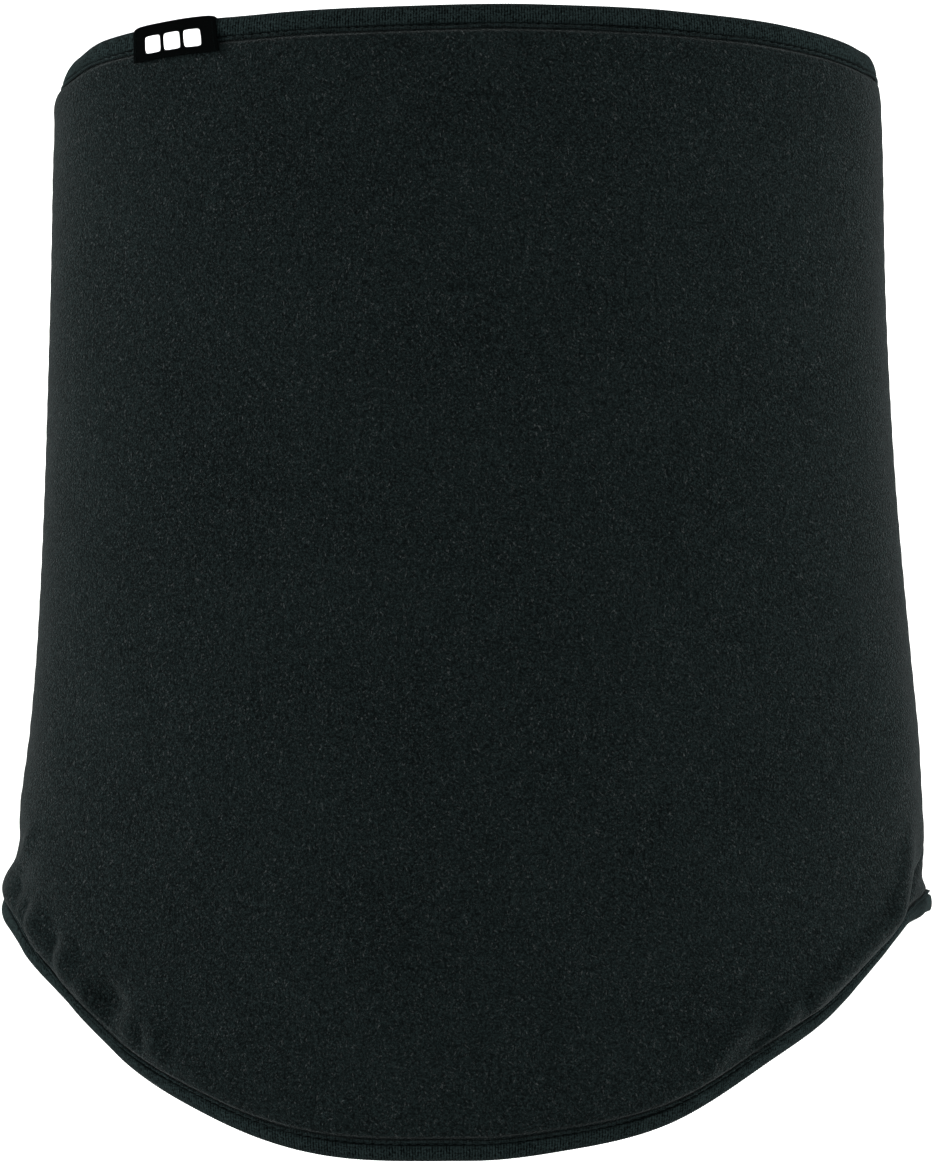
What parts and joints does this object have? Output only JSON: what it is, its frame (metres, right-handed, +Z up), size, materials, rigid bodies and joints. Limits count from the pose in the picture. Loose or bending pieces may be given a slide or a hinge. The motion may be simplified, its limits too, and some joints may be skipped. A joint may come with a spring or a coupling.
{
  "type": "neck gaiter",
  "caption": "Flared oval tube of black brushed fleece with a long rounded front bib, ribbed stretch bindings round the rim and hem, and a small folded woven label on the rim.",
  "frame": {"origin": "middle of the neck opening, at the height where the rim meets the side seams", "axes": "+Z up the neck and out of the opening, -Y out of the front (the long bib), +X to the right as seen from the front"},
  "size_m": [0.2416, 0.1201, 0.293],
  "materials": {
    "fleece": "black brushed microfleece, matt with a soft short nap",
    "seam": "overlocked cut edges of the fleece under black thread",
    "binding": "finely ribbed black stretch binding tape",
    "thread": "black polyester sewing thread, slightly glossy",
    "label": "tightly woven black label tape with a plain white geometric motif",
    "satin": "white satin ribbon with a slight sheen"
  },
  "bodies": {
    "tube": {"front_panel": "fleece", "back_panel": "fleece", "side_seam_left": "seam", "side_seam_right": "seam", "top_binding": "binding", "top_stitches_outer": "thread", "top_stitches_inner": "thread", "top_binding_tack": "thread", "hem_binding": "binding", "hem_stitches_outer": "thread", "hem_stitches_inner": "thread", "hem_binding_tack": "thread", "brand_label": "label", "brand_label_thread_left": "thread", "brand_label_thread_right": "thread"},
    "care_label_flap": {"care_label": "satin"}
  },
  "joints": [
    {"name": "care_label_swing", "type": "hinge", "parent": "tube", "child": "care_label_flap", "pos_m": [0, 0.0465, -0.0173], "axis": [-1, 0, 0], "range_deg": [0, 150]}
  ]
}
